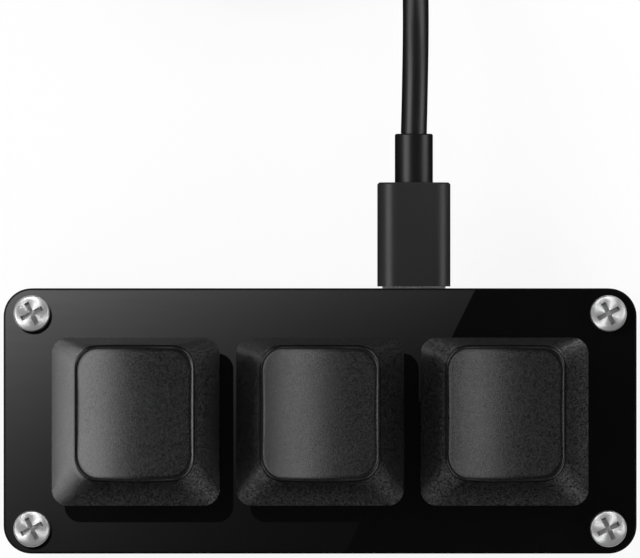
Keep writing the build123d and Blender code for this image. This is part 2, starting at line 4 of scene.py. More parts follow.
import bmesh
import bpy
from mathutils import Matrix, Vector


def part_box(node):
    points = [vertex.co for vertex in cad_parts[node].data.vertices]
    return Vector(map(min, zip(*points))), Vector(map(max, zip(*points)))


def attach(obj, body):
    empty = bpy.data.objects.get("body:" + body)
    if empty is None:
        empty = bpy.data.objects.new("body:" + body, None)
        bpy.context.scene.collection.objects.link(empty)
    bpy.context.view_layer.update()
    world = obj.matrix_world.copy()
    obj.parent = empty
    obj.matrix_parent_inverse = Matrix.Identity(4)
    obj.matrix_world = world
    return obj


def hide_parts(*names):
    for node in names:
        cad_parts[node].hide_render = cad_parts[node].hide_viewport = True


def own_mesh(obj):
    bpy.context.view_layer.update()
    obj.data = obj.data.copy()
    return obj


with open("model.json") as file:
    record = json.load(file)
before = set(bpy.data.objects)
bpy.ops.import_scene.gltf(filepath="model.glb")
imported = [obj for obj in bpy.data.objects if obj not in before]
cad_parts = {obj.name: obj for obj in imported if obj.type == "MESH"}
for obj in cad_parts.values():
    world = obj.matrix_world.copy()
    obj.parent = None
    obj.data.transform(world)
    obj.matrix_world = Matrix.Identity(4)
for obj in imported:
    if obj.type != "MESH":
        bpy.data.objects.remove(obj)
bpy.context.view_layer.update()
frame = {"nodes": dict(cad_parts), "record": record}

# A three-key programmable keypad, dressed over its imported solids. All lengths are metres.
MM = 0.001

# Places of the photograph's view
PHOTO_WIDTH_PX = 640
PHOTO_HEIGHT_PX = 558
PIXELS_PER_METRE = 9310
BODY_MIDDLE_PX = (320.1, 421.0)
PLATE_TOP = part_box("top_plate")[1].z


def plate_place(pixel_x, pixel_y):
    """The place on the top plate that the photograph shows at a pixel."""
    return Vector(((pixel_x - BODY_MIDDLE_PX[0]) / PIXELS_PER_METRE,
                   (BODY_MIDDLE_PX[1] - pixel_y) / PIXELS_PER_METRE, PLATE_TOP))


# Camera
LENS_MM = 600
SENSOR_WIDTH_MM = 36
VIEW_DEPTH = 10


def make_camera():
    """A long lens straight above, aimed at the middle of the photograph's frame."""
    data = bpy.data.cameras.new("camera")
    data.lens = LENS_MM
    data.sensor_width = SENSOR_WIDTH_MM
    data.clip_end = VIEW_DEPTH
    distance = PHOTO_WIDTH_PX / PIXELS_PER_METRE * LENS_MM / SENSOR_WIDTH_MM
    camera = bpy.data.objects.new("camera", data)
    bpy.context.collection.objects.link(camera)
    camera.location = plate_place(PHOTO_WIDTH_PX / 2, PHOTO_HEIGHT_PX / 2) + Vector((0, 0, distance))
    bpy.context.scene.camera = camera


make_camera()

# Cord: the lead's, coil's and tail's points as in the part's source. Two of the lead's points are moved
# 0.22 mm to the right, where the photograph shows the cord.
CORD_DIAMETER = 2.8 * MM
LEAD_ROUTE_MM = [
    (10.1, 30.89, 10.475),
    (10.32, 39.5, 10.475),
    (10.32, 48.0, 7.2),
    (10.1, 56.5, 2.5),
    (10.1, 64.7, 2.5),
]
TAIL_ROUTE_MM = [
    (10.7, 83.0, 3.8),
    (10.7, 88.6, 3.8),
]
TAIL_FIRST_RUN = 5.6 * MM
COIL_QUARTERS = 14
COIL_INNER_RADIUS = 9.4 * MM
COIL_STEP = 3.3 * MM
COIL_LAYER_STEP = 3.3 * MM
COIL_POINTS_PER_QUARTER = 4
CORD_FINENESS = 6

coil_outer_radius = COIL_INNER_RADIUS + COIL_QUARTERS * COIL_STEP / 4
coil_lean = atan2(COIL_STEP / (2 * pi), coil_outer_radius)
coil_entry = Vector(LEAD_ROUTE_MM[-1]) * MM
coil_centre = coil_entry + Vector((-coil_outer_radius * cos(coil_lean),
                                   CORD_DIAMETER + coil_outer_radius * sin(coil_lean), 0))


def ease(share):
    """A share from 0 to 1, eased at both ends."""
    share = min(max(share, 0), 1)
    return share * share * (3 - 2 * share)


def coil_points():
    """Control points of the coil: one layer winds in, climbs in half a turn, and the next winds out."""
    quarters = 2 * COIL_QUARTERS
    count = quarters * COIL_POINTS_PER_QUARTER
    outset = 1 / cos(pi / (4 * COIL_POINTS_PER_QUARTER))
    points = []
    for number in range(count + 1):
        turned = quarters * number / count
        angle = -coil_lean + (quarters * pi / 2 + 2 * coil_lean) * number / count
        radius = COIL_INNER_RADIUS + abs(COIL_QUARTERS - turned) * COIL_STEP / 4
        height = COIL_LAYER_STEP * ease((turned - COIL_QUARTERS + 1) / 2)
        reach = radius * outset
        points.append(coil_centre + Vector((reach * cos(angle), reach * sin(angle), height)))
    return points


def make_cord():
    """One smooth spline through the lead, the coil and the tail."""
    coil = coil_points()
    coil_exit = coil[-1] + Vector((0, CORD_DIAMETER, 0))
    points = [Vector(point) * MM for point in LEAD_ROUTE_MM]
    points += coil
    points += [coil_exit, coil_exit + Vector((0, TAIL_FIRST_RUN, 0))]
    points += [Vector(point) * MM for point in TAIL_ROUTE_MM]
    data = bpy.data.curves.new("cord_line", "CURVE")
    data.dimensions = "3D"
    spline = data.splines.new("NURBS")
    spline.points.add(len(points) - 1)
    for point, place in zip(spline.points, points):
        point.co = (*place, 1)
        point.radius = CORD_DIAMETER / 2
    spline.order_u = 3
    spline.use_endpoint_u = True
    spline.resolution_u = CORD_FINENESS
    data.bevel_depth = 1
    data.bevel_resolution = CORD_FINENESS
    data.use_fill_caps = True
    cord = bpy.data.objects.new("cord_line", data)
    bpy.context.collection.objects.link(cord)
    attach(cord, "case")
    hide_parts("cord", "cord_coil", "cord_tail")
    return cord


cord_line = make_cord()

# Materials: cloud sizes are in grains, streaks or grooves, and depths are shares of a streak or groove
CLOUD_GRAINS = 40
CLOUD_STREAKS = 60
CLOUD_GROOVES = 12
STREAK_STRETCH = (1, 0.03, 1)
STREAK_DEPTH_SHARE = 0.04
GROOVE_DEPTH_SHARE = 0.05
PATTERN_RANGE = (0.3, 0.7)


def new_material(name, sockets):
    """A material and its shader, with the shader's plain values set on its own sockets."""
    material = bpy.data.materials.new(name)
    material.use_nodes = True
    shader = material.node_tree.nodes["Principled BSDF"]
    for socket, value in sockets.items():
        shader.inputs[socket].default_value = value
    return material, shader


def add_node(material, kind, settings, inputs):
    """A node with its settings, and each input set to a value or linked from another node's output."""
    node = material.node_tree.nodes.new(kind)
    for name, value in settings.items():
        setattr(node, name, value)
    for name, value in inputs.items():
        if isinstance(value, bpy.types.NodeSocket):
            material.node_tree.links.new(value, node.inputs[name])
        else:
            node.inputs[name].default_value = value
    return node


def object_place(material):
    """Coordinates in metres, fixed to the piece."""
    return add_node(material, "ShaderNodeTexCoord", {}, {}).outputs["Object"]


def noise(material, place, size, detail=2, stretch=None):
    """Cloudy pattern with features of a size in metres, stretched along the axes if asked."""
    if stretch:
        place = add_node(material, "ShaderNodeVectorMath", {"operation": "MULTIPLY"},
                         {0: place, 1: stretch}).outputs["Vector"]
    return add_node(material, "ShaderNodeTexNoise", {},
                    {"Vector": place, "Scale": 1 / size, "Detail": detail}).outputs["Fac"]


def spread(material, pattern, low, high):
    """A pattern's middle range spread between two values."""
    return add_node(material, "ShaderNodeMapRange", {},
                    {"Value": pattern, "From Min": PATTERN_RANGE[0], "From Max": PATTERN_RANGE[1],
                     "To Min": low, "To Max": high}).outputs["Result"]


def tint(material, pattern, dark, light):
    """A colour between dark and light, chosen by a pattern."""
    return add_node(material, "ShaderNodeMix", {"data_type": "RGBA"},
                    {"Factor": pattern, 6: (*dark, 1), 7: (*light, 1)}).outputs[2]


def bump(material, pattern, depth, strength=1.0):
    """A surface normal from a height pattern, depth in metres."""
    return add_node(material, "ShaderNodeBump", {},
                    {"Height": pattern, "Distance": depth, "Strength": strength}).outputs["Normal"]


def link(material, output, shader, socket):
    """Feed one of the shader's sockets."""
    material.node_tree.links.new(output, shader.inputs[socket])


def moulded(name, dark, light, roughness, grain, depth, specular=0.5):
    """Moulded plastic or rubber: fine grain, slow colour drift and uneven gloss."""
    material, shader = new_material(name, {"Specular IOR Level": specular})
    place = object_place(material)
    fine = noise(material, place, grain, 3)
    slow = noise(material, place, grain * CLOUD_GRAINS, 4)
    link(material, tint(material, slow, dark, light), shader, "Base Color")
    link(material, spread(material, slow, *roughness), shader, "Roughness")
    link(material, bump(material, fine, depth), shader, "Normal")
    return material


def sheet_metal(name, dark, light, roughness, streak):
    """Plated sheet or wire with fine drawn streaks along Y."""
    material, shader = new_material(name, {"Metallic": 1.0})
    place = object_place(material)
    streaks = noise(material, place, streak, 3, STREAK_STRETCH)
    cloud = noise(material, place, streak * CLOUD_STREAKS, 3)
    link(material, tint(material, cloud, dark, light), shader, "Base Color")
    link(material, spread(material, streaks, *roughness), shader, "Roughness")
    link(material, bump(material, streaks, streak * STREAK_DEPTH_SHARE), shader, "Normal")
    return material


def turned_metal(name, dark, light, roughness, groove, recess, recess_top, recess_reach):
    """Metal turned on a lathe: rings about the piece's own axis, streaked gloss and painted shade in the
    cross recess.
    """
    material, shader = new_material(name, {"Metallic": 1.0, "Anisotropic": 0.95})
    place = object_place(material)
    across = add_node(material, "ShaderNodeVectorMath", {"operation": "MULTIPLY"},
                      {0: place, 1: (1, 1, 0)})
    reach = add_node(material, "ShaderNodeVectorMath", {"operation": "LENGTH"},
                     {0: across.outputs["Vector"]}).outputs["Value"]
    rings = add_node(material, "ShaderNodeTexNoise", {"noise_dimensions": "1D"},
                     {"W": reach, "Scale": 1 / groove, "Detail": 2}).outputs["Fac"]
    cloud = noise(material, place, groove * CLOUD_GROOVES, 2)
    tangent = add_node(material, "ShaderNodeTangent", {"direction_type": "RADIAL", "axis": "Z"}, {})
    link(material, tangent.outputs["Tangent"], shader, "Tangent")
    # Painted shade: a darker colour inside the cross recess, below its top and within its reach
    height = add_node(material, "ShaderNodeSeparateXYZ", {}, {0: place}).outputs["Z"]
    below = add_node(material, "ShaderNodeMath", {"operation": "LESS_THAN"},
                     {0: height, 1: recess_top})
    within = add_node(material, "ShaderNodeMath", {"operation": "LESS_THAN"},
                      {0: reach, 1: recess_reach})
    recess_shade_mask = add_node(material, "ShaderNodeMath", {"operation": "MULTIPLY"},
                         {0: below.outputs["Value"], 1: within.outputs["Value"]}).outputs["Value"]
    head_colour = tint(material, rings, dark, light)
    colour = add_node(material, "ShaderNodeMix", {"data_type": "RGBA"},
                      {"Factor": recess_shade_mask, 6: head_colour, 7: (*recess, 1)}).outputs[2]
    link(material, colour, shader, "Base Color")
    link(material, spread(material, cloud, *roughness), shader, "Roughness")
    link(material, bump(material, rings, groove * GROOVE_DEPTH_SHARE), shader, "Normal")
    return material


PLATE_DARK = (0.0004, 0.0004, 0.0005)
PLATE_LIGHT = (0.0009, 0.0009, 0.0010)
PLATE_ROUGHNESS = (0.43, 0.47)
PLATE_CLOUD = 9 * MM
PLATE_HAIR = 0.25 * MM
HAIR_STRETCH = (0.05, 1, 1)


def gloss_plate():
    """Polished black acrylic: a clear coat over a faint satin, with the lightest hair marks."""
    material, shader = new_material("gloss_black", {
        "Specular IOR Level": 0.08, "Coat Weight": 1.0, "Coat Roughness": 0.02, "Coat IOR": 1.49})
    place = object_place(material)
    slow = noise(material, place, PLATE_CLOUD, 3)
    hair = noise(material, place, PLATE_HAIR, 2, HAIR_STRETCH)
    link(material, tint(material, slow, PLATE_DARK, PLATE_LIGHT), shader, "Base Color")
    link(material, spread(material, hair, *PLATE_ROUGHNESS), shader, "Roughness")
    return material


GRAIN_SIZE = 0.12 * MM
GRAIN_DEPTH = 0.006 * MM
GRAIN_STRETCH = (1, 1, 0.15)
GRAIN_DARK = (0.0015, 0.0015, 0.0015)
GRAIN_LIGHT = (0.0155, 0.0155, 0.016)
GRAIN_ROUGHNESS = (0.295, 0.375)
GLOSS_DRIFT = (0.95, 1.05)
GLOSS_CLOUD = 5 * MM


def keycap_plastic():
    """Fine-grained matt plastic: each grain has its own shade, gloss and height, and the colour is scaled by
    painted light and shade stored on the keycap's points.
    """
    material, shader = new_material("keycap_black", {"Specular IOR Level": 0.5})
    place = object_place(material)
    drawn = add_node(material, "ShaderNodeVectorMath", {"operation": "MULTIPLY"},
                     {0: place, 1: GRAIN_STRETCH})
    grains = add_node(material, "ShaderNodeTexVoronoi", {},
                      {"Vector": drawn.outputs["Vector"], "Scale": 1 / GRAIN_SIZE})
    shade = add_node(material, "ShaderNodeSeparateColor", {}, {0: grains.outputs["Color"]})
    slow = noise(material, place, GLOSS_CLOUD, 3)
    # Painted light and shade: a factor stored on each keycap point scales the grain colour
    painted_shade = add_node(material, "ShaderNodeAttribute", {"attribute_name": "painted_shade"}, {}).outputs["Fac"]
    colour = tint(material, shade.outputs["Red"], GRAIN_DARK, GRAIN_LIGHT)
    painted_shade_colour = add_node(material, "ShaderNodeVectorMath", {"operation": "SCALE"},
                           {0: colour, "Scale": painted_shade})
    link(material, painted_shade_colour.outputs["Vector"], shader, "Base Color")
    gloss = add_node(material, "ShaderNodeMapRange", {},
                     {"Value": shade.outputs["Green"], "To Min": GRAIN_ROUGHNESS[0],
                      "To Max": GRAIN_ROUGHNESS[1]}).outputs["Result"]
    worn = add_node(material, "ShaderNodeMath", {"operation": "MULTIPLY"},
                    {0: gloss, 1: spread(material, slow, *GLOSS_DRIFT)}).outputs["Value"]
    link(material, worn, shader, "Roughness")
    link(material, bump(material, grains.outputs["Distance"], GRAIN_DEPTH), shader, "Normal")
    return material


STRAP_THREAD = 0.45 * MM
STRAP_FUZZ = 0.2 * MM
STRAP_RIB = 0.12 * MM
STRAP_DARK = (0.006, 0.006, 0.007)
STRAP_LIGHT = (0.03, 0.03, 0.033)
STRAP_ROUGHNESS = (0.8, 0.95)
STRAP_RIB_STRENGTH = 0.8
STRAP_DISTORTION = 0.6

# A wave texture of scale 1 repeats after this length
WAVE_REPEAT = 0.314


def strap_fabric():
    """Woven hook-and-loop strap: crossing ribs with a fuzzy sheen."""
    material, shader = new_material("tie_fabric", {"Sheen Weight": 0.35, "Sheen Roughness": 0.5,
                                                   "Specular IOR Level": 0.2})
    place = object_place(material)
    ribs = []
    for direction in ("Y", "DIAGONAL"):
        wave = add_node(material, "ShaderNodeTexWave", {"bands_direction": direction},
                        {"Vector": place, "Scale": WAVE_REPEAT / STRAP_THREAD,
                         "Distortion": STRAP_DISTORTION})
        ribs.append(wave.outputs["Fac"])
    weave = add_node(material, "ShaderNodeMath", {"operation": "MULTIPLY"},
                     {0: ribs[0], 1: ribs[1]}).outputs["Value"]
    fuzz = noise(material, place, STRAP_FUZZ, 3)
    link(material, tint(material, weave, STRAP_DARK, STRAP_LIGHT), shader, "Base Color")
    link(material, spread(material, fuzz, *STRAP_ROUGHNESS), shader, "Roughness")
    link(material, bump(material, weave, STRAP_RIB, STRAP_RIB_STRENGTH), shader, "Normal")
    return material


BOARD_RUN_PITCH = 2.4 * MM
BOARD_RUN_DEPTH = 0.03 * MM
BOARD_WEAVE = 0.4 * MM
BOARD_DARK = (0.012, 0.075, 0.03)
BOARD_LIGHT = (0.03, 0.15, 0.06)
BOARD_ROUGHNESS = (0.3, 0.42)
BOARD_RUN_WIDTH_SHARE = 0.06


def board_mask():
    """Green solder mask over copper runs, with a woven glass ground."""
    material, shader = new_material("board_green", {"Coat Weight": 0.4, "Coat Roughness": 0.2})
    place = object_place(material)
    runs = add_node(material, "ShaderNodeTexBrick", {},
                    {"Vector": place, "Scale": 1 / BOARD_RUN_PITCH, "Mortar Size": BOARD_RUN_WIDTH_SHARE,
                     "Color1": (0, 0, 0, 1), "Color2": (0, 0, 0, 1),
                     "Mortar": (1, 1, 1, 1)}).outputs["Color"]
    weave = noise(material, place, BOARD_WEAVE, 2)
    link(material, tint(material, runs, BOARD_DARK, BOARD_LIGHT), shader, "Base Color")
    link(material, spread(material, weave, *BOARD_ROUGHNESS), shader, "Roughness")
    link(material, bump(material, runs, BOARD_RUN_DEPTH), shader, "Normal")
    return material


# Moulded materials: dark and light shade, roughness range, grain size and depth, and where it isn't 0.5, the
# specular level
MOULDED = {
    "case_black": ((0.008, 0.008, 0.009), (0.013, 0.013, 0.014), (0.36, 0.46), 0.22 * MM, 0.010 * MM),
    "switch_black": ((0.010, 0.010, 0.011), (0.016, 0.016, 0.017), (0.30, 0.42), 0.3 * MM, 0.006 * MM),
    "stem_brown": ((0.13, 0.055, 0.026), (0.17, 0.075, 0.036), (0.3, 0.4), 0.3 * MM, 0.005 * MM),
    "foot_rubber": ((0.014, 0.014, 0.014), (0.022, 0.022, 0.022), (0.7, 0.85), 0.25 * MM, 0.02 * MM),
    "chip_black": ((0.014, 0.014, 0.015), (0.022, 0.022, 0.024), (0.5, 0.62), 0.12 * MM, 0.006 * MM),
    "capacitor_tan": ((0.36, 0.23, 0.12), (0.48, 0.33, 0.18), (0.35, 0.5), 0.2 * MM, 0.005 * MM),
    "plug_black": ((0.019, 0.019, 0.02), (0.023, 0.023, 0.024), (0.34, 0.40), 0.2 * MM, 0.004 * MM, 0.4),
    "cord_black": ((0.004, 0.004, 0.005), (0.007, 0.007, 0.008), (0.32, 0.40), 0.3 * MM, 0.005 * MM, 0.65),
    "collar_black": ((0.004, 0.004, 0.005), (0.007, 0.007, 0.008), (0.32, 0.40), 0.2 * MM, 0.004 * MM),
    "tongue_white": ((0.70, 0.70, 0.68), (0.78, 0.78, 0.76), (0.4, 0.5), 0.3 * MM, 0.004 * MM),
}

# Sheet metals: dark and light shade, roughness range and width of the streaks
SHEET_METALS = {
    "shell_steel": ((0.46, 0.46, 0.47), (0.57, 0.57, 0.58), (0.24, 0.36), 0.08 * MM),
    "brass": ((0.62, 0.43, 0.18), (0.74, 0.54, 0.26), (0.22, 0.34), 0.08 * MM),
}

# Screws' metal: the recess colour is painted shade in the cross recess
SCREW_METAL = {
    "dark": (0.58, 0.58, 0.585),
    "light": (0.76, 0.76, 0.765),
    "roughness": (0.32, 0.37),
    "groove": 0.05 * MM,
    "recess": (0.32, 0.32, 0.325),
    "recess_top": 1.21 * MM,
    "recess_reach": 1.5 * MM,
}

MATERIALS = {
    "gloss_black": gloss_plate(),
    "keycap_black": keycap_plastic(),
    "screw_steel": turned_metal("screw_steel", **SCREW_METAL),
    "board_green": board_mask(),
    "tie_fabric": strap_fabric(),
}
for slot_name, look in MOULDED.items():
    MATERIALS[slot_name] = moulded(slot_name, *look)
for slot_name, look in SHEET_METALS.items():
    MATERIALS[slot_name] = sheet_metal(slot_name, *look)


def paint(piece, slot):
    """Give a piece one material."""
    piece.data.materials.clear()
    piece.data.materials.append(MATERIALS[slot])


for subpart in frame["record"]["subparts"]:
    node = frame["nodes"][subpart["node"]]
    for material_slot in node.material_slots:
        material_slot.material = MATERIALS[subpart["material_slot"]]
frame["nodes"]["usb_plug_collar"].material_slots[0].material = MATERIALS["collar_black"]
cord_line.data.materials.append(MATERIALS["cord_black"])


def new_piece(name, mesh_builder, slot, body, smooth_angle=radians(40)):
    """A finished mesh as a piece that rides on a body."""
    mesh = bpy.data.meshes.new(name)
    bmesh.ops.recalc_face_normals(mesh_builder, faces=mesh_builder.faces)
    mesh_builder.to_mesh(mesh)
    mesh_builder.free()
    piece = bpy.data.objects.new(name, mesh)
    bpy.context.collection.objects.link(piece)
    paint(piece, slot)
    mesh.shade_smooth()
    mesh.set_sharp_from_angle(angle=smooth_angle)
    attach(piece, body)
    return piece


def bridge(builder, lower, upper):
    """Faces between two closed rings of as many points."""
    count = len(lower)
    for number in range(count):
        after = (number + 1) % count
        builder.faces.new((lower[number], lower[after], upper[after], upper[number]))


# Keycaps
KEY_COUNT = 3
CAP_TOP_HALF = Vector((6.27, 7.01)) * MM
CAP_TOP_SHIFT = 1.12 * MM
CAP_BASE_CORNER = 1.7 * MM
CAP_TOP_CORNER = 2.5 * MM
CAP_DISH = 0.9 * MM
CAP_RIM = 0.5 * MM
CAP_RIM_WIDTH_SHARE = 1.25
CAP_WALL = 1.1 * MM
CAP_ROOF = 1.3 * MM
CAP_FOOT_ROUND = 0.12 * MM
CAP_POST_RADIUS = 2.7 * MM
CAP_SLOT_SPAN = 4.2 * MM
CAP_SLOT_ARM = 1.3 * MM
CAP_SLOT_DEPTH = 3.8 * MM
CAP_SMOOTH_ANGLE = radians(50)
CORNER_STEPS = 9
SIDE_STEPS = 12
RIM_STEPS = 6
RIM_SOLVE_STEPS = 4
SKIRT_LEVELS = (0.12, 0.25, 0.4, 0.55, 0.7, 0.8, 0.9, 1.0)
FACE_SHARES = (0.97, 0.9, 0.8, 0.68, 0.55, 0.42, 0.28, 0.14)

# Painted light and shade on the keycap's plastic, scaling its colour: a painted highlight along the corner
# ridges, painted light at the foot of the sides, painted shade that darkens the front upwards, and a painted
# dark line in the rim
RIDGE_PAINTED_LIGHT = 1.2
RIDGE_WIDTH = 0.2
FRONT_LOW_PAINTED_SHADE = 1.15
FRONT_HIGH_PAINTED_SHADE = 0.5
SIDE_LOW_PAINTED_LIGHT = 1.6
RIM_PAINTED_SHADE = 0.1
PAINTED_SHADE_SHARPNESS = 4


def rounded_outline(half_x, half_y, corner):
    """Points round a rectangle with round corners, as many whatever its size."""
    points = []
    for turn, (side_x, side_y) in enumerate(((1, 1), (-1, 1), (-1, -1), (1, -1))):
        middle = Vector((side_x * (half_x - corner), side_y * (half_y - corner)))
        for step in range(CORNER_STEPS + 1):
            angle = (turn + step / CORNER_STEPS) * pi / 2
            points.append(middle + corner * Vector((cos(angle), sin(angle))))
        reach = 2 * ((half_x if turn % 2 == 0 else half_y) - corner)
        along = Vector((-sin((turn + 1) * pi / 2), cos((turn + 1) * pi / 2)))
        start = points[-1]
        for step in range(1, SIDE_STEPS):
            points.append(start + along * reach * step / SIDE_STEPS)
    return points


def skirt_painted_shade(outward, height_share):
    """Painted light and shade on the skirt, as a colour factor: outward is a place on its outline, in half
    widths of the keycap.
    """
    ridge = max(0, 1 - abs(abs(outward.x) - abs(outward.y)) / RIDGE_WIDTH)
    front = min(max(PAINTED_SHADE_SHARPNESS * (-outward.y - abs(outward.x)), 0), 1)
    front_painted_shade = FRONT_LOW_PAINTED_SHADE + (FRONT_HIGH_PAINTED_SHADE - FRONT_LOW_PAINTED_SHADE) * ease(height_share)
    side = min(max(PAINTED_SHADE_SHARPNESS * (abs(outward.x) - abs(outward.y)), 0), 1)
    side_painted_shade = SIDE_LOW_PAINTED_LIGHT + (1 - SIDE_LOW_PAINTED_LIGHT) * ease(height_share)
    return (1 + front * (front_painted_shade - 1) + side * (side_painted_shade - 1)) * (1 + RIDGE_PAINTED_LIGHT * ridge)


LEAST_RUN = 1e-9


def nearest_way(points, place):
    """The number of the point that lies most nearly in a place's direction."""
    way = place.normalized()
    return max(range(len(points)), key=lambda number: points[number].normalized().dot(way))


def cross_outline(angles):
    """Points of a cross seen from its middle at rising angles, with its twelve corners among them."""
    span = CAP_SLOT_SPAN / 2
    arm = CAP_SLOT_ARM / 2
    points = []
    for angle in angles:
        run_x = max(abs(cos(angle)), LEAST_RUN)
        run_y = max(abs(sin(angle)), LEAST_RUN)
        reach = max(min(span / run_x, arm / run_y), min(arm / run_x, span / run_y))
        points.append(Vector((reach * cos(angle), reach * sin(angle))))
    for side_x in (-1, 1):
        for side_y in (-1, 1):
            for corner in (Vector((span, arm)), Vector((arm, span)), Vector((arm, arm))):
                place = Vector((side_x * corner.x, side_y * corner.y))
                points[nearest_way(points, place)] = place
    return points


def make_keycap(number):
    """Keycap with soft rims round a dished top, thin walls below and a slotted post inside."""
    node = f"keycap_{number}"
    low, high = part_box(node)
    middle_x = (low.x + high.x) / 2
    base_half = (high.x - low.x) / 2
    height = high.z - low.z
    dish_radius = (CAP_TOP_HALF.x ** 2 + CAP_DISH ** 2) / (2 * CAP_DISH)

    def dish(x):
        x = min(abs(x), CAP_TOP_HALF.x)
        return height - CAP_DISH + dish_radius - sqrt(dish_radius ** 2 - x ** 2)

    base_outline = rounded_outline(base_half, base_half, CAP_BASE_CORNER)
    top_outline = rounded_outline(CAP_TOP_HALF.x, CAP_TOP_HALF.y, CAP_TOP_CORNER)
    shift = Vector((0, CAP_TOP_SHIFT))

    def skirt(index, share):
        return base_outline[index].lerp(top_outline[index] + shift, share)

    count = len(base_outline)
    # The skirt's share at which each of its lines meets the dished face
    rim_shares = []
    for index in range(count):
        share = 1
        for _ in range(RIM_SOLVE_STEPS):
            share = dish(skirt(index, share).x) / height
        rim_shares.append(share)
    outward = [point / base_half for point in base_outline]
    builder = bmesh.new()
    # Each point carries a painted light and shade factor for its colour
    painted_shade_layer = builder.verts.layers.float.new("painted_shade")

    def ring(places, painted_shades=None):
        made = [builder.verts.new((middle_x + x, y, low.z + z)) for x, y, z in places]
        for index, vertex in enumerate(made):
            vertex[painted_shade_layer] = painted_shades[index] if painted_shades else 1
        return made

    # Skirt, from its rounded foot to the rim
    foot_painted_shades = [skirt_painted_shade(outward[i], 0) for i in range(count)]
    foot_inset = 1 - CAP_FOOT_ROUND / base_half
    foot_share = CAP_FOOT_ROUND / height
    foot = [(*(skirt(i, 0) * foot_inset), 0) for i in range(count)]
    above_foot = [(*skirt(i, foot_share), CAP_FOOT_ROUND) for i in range(count)]
    rings = [ring(foot, foot_painted_shades), ring(above_foot, foot_painted_shades)]
    rim_start = 1 - CAP_RIM / height
    for level in SKIRT_LEVELS:
        places = []
        for i in range(count):
            share = rim_shares[i] * rim_start * level
            places.append((*skirt(i, share), share * height))
        rings.append(ring(places, [skirt_painted_shade(outward[i], level) for i in range(count)]))
    # Rounded rim and dished face
    for step in range(1, RIM_STEPS + 1):
        angle = pi / 2 * step / RIM_STEPS
        places = []
        for i in range(count):
            edge = skirt(i, rim_shares[i] * rim_start)
            inward = (shift - edge).normalized()
            flat = edge + inward * CAP_RIM * CAP_RIM_WIDTH_SHARE * (1 - cos(angle))
            top = dish(flat.x)
            start = rim_shares[i] * rim_start * height
            places.append((*flat, start + (top - start) * sin(angle)))
        # The rim's points carry a painted dark line
        rings.append(ring(places, [RIM_PAINTED_SHADE] * count))
    rim = [vertex.co.copy() for vertex in rings[-1]]
    for share in FACE_SHARES:
        places = []
        for place in rim:
            flat = shift + (Vector((place.x - middle_x, place.y)) - shift) * share
            places.append((*flat, dish(flat.x)))
        rings.append(ring(places))
    for lower, upper in zip(rings, rings[1:]):
        bridge(builder, lower, upper)
    centre = ring([(*shift, dish(0))])[0]
    for index in range(count):
        builder.faces.new((rings[-1][index], rings[-1][(index + 1) % count], centre))
    # Inner walls, ceiling and the slotted post
    ceiling = height - CAP_DISH - CAP_ROOF
    inside = []
    for share_height in (0, ceiling):
        share = share_height / height
        places = []
        for i in range(count):
            edge = skirt(i, share)
            hub = shift * share
            thin = 1 - CAP_WALL / base_half
            places.append((*(hub + (edge - hub) * thin), share_height))
        inside.append(ring(places))
    bridge(builder, rings[0], inside[0])
    bridge(builder, inside[0], inside[1])
    angles = [atan2(vertex.co.y, vertex.co.x - middle_x) for vertex in inside[1]]
    post_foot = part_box(f"switch_cover_{number}")[1].z - low.z
    post = [inside[1]]
    post_outline = [CAP_POST_RADIUS * Vector((cos(angle), sin(angle))) for angle in angles]
    slot_outline = cross_outline(angles)
    for outline, level in ((post_outline, ceiling), (post_outline, post_foot),
                           (slot_outline, post_foot), (slot_outline, post_foot + CAP_SLOT_DEPTH)):
        post.append(ring([(*point, level) for point in outline]))
    for lower, upper in zip(post, post[1:]):
        bridge(builder, lower, upper)
    builder.faces.new(post[-1])
    keycap = new_piece(f"keycap_skin_{number}", builder, "keycap_black", f"key_{number}", CAP_SMOOTH_ANGLE)
    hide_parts(node)
    return keycap


keycaps = [make_keycap(number + 1) for number in range(KEY_COUNT)]

# Screws
SCREW_HEAD_RADIUS = 1.95 * MM
SCREW_HEAD_HEIGHT = 1.3 * MM
SCREW_HEAD_ROUND = 0.14 * MM
SCREW_HEAD_RISE = 0.04 * MM
SCREW_SHANK_RADIUS = 1.0 * MM
SCREW_LENGTH = 4.7 * MM
SCREW_SEGMENTS = 64
SCREW_DOME_SHARES = (0.75, 0.5, 0.25)
SCREW_SMOOTH_ANGLE = radians(32)
RECESS_SPAN = 2.55 * MM
RECESS_ARM = 0.5 * MM
RECESS_DEPTH = 0.9 * MM
RECESS_TAPER = 0.84
RECESS_TURN = radians(26.6)
ROUND_STEPS = 5


def screw_head():
    """Pan head and shank, turned about Z, with the seat at zero height."""
    shoulder = SCREW_HEAD_HEIGHT - SCREW_HEAD_RISE
    profile = [(SCREW_SHANK_RADIUS, -SCREW_LENGTH), (SCREW_SHANK_RADIUS, 0), (SCREW_HEAD_RADIUS, 0)]
    for step in range(ROUND_STEPS + 1):
        angle = pi / 2 * step / ROUND_STEPS
        profile.append((SCREW_HEAD_RADIUS - SCREW_HEAD_ROUND * (1 - cos(angle)),
                        shoulder - SCREW_HEAD_ROUND * (1 - sin(angle))))
    flat = SCREW_HEAD_RADIUS - SCREW_HEAD_ROUND
    for share in SCREW_DOME_SHARES:
        profile.append((flat * share, shoulder + SCREW_HEAD_RISE * (1 - share)))
    builder = bmesh.new()
    rings = []
    for radius, height in profile:
        ring = []
        for number in range(SCREW_SEGMENTS):
            angle = 2 * pi * number / SCREW_SEGMENTS
            ring.append(builder.verts.new((radius * cos(angle), radius * sin(angle), height)))
        rings.append(ring)
    for lower, upper in zip(rings, rings[1:]):
        bridge(builder, lower, upper)
    builder.faces.new(rings[0])
    peak = builder.verts.new((0, 0, SCREW_HEAD_HEIGHT))
    for number in range(SCREW_SEGMENTS):
        builder.faces.new((rings[-1][number], rings[-1][(number + 1) % SCREW_SEGMENTS], peak))
    return builder


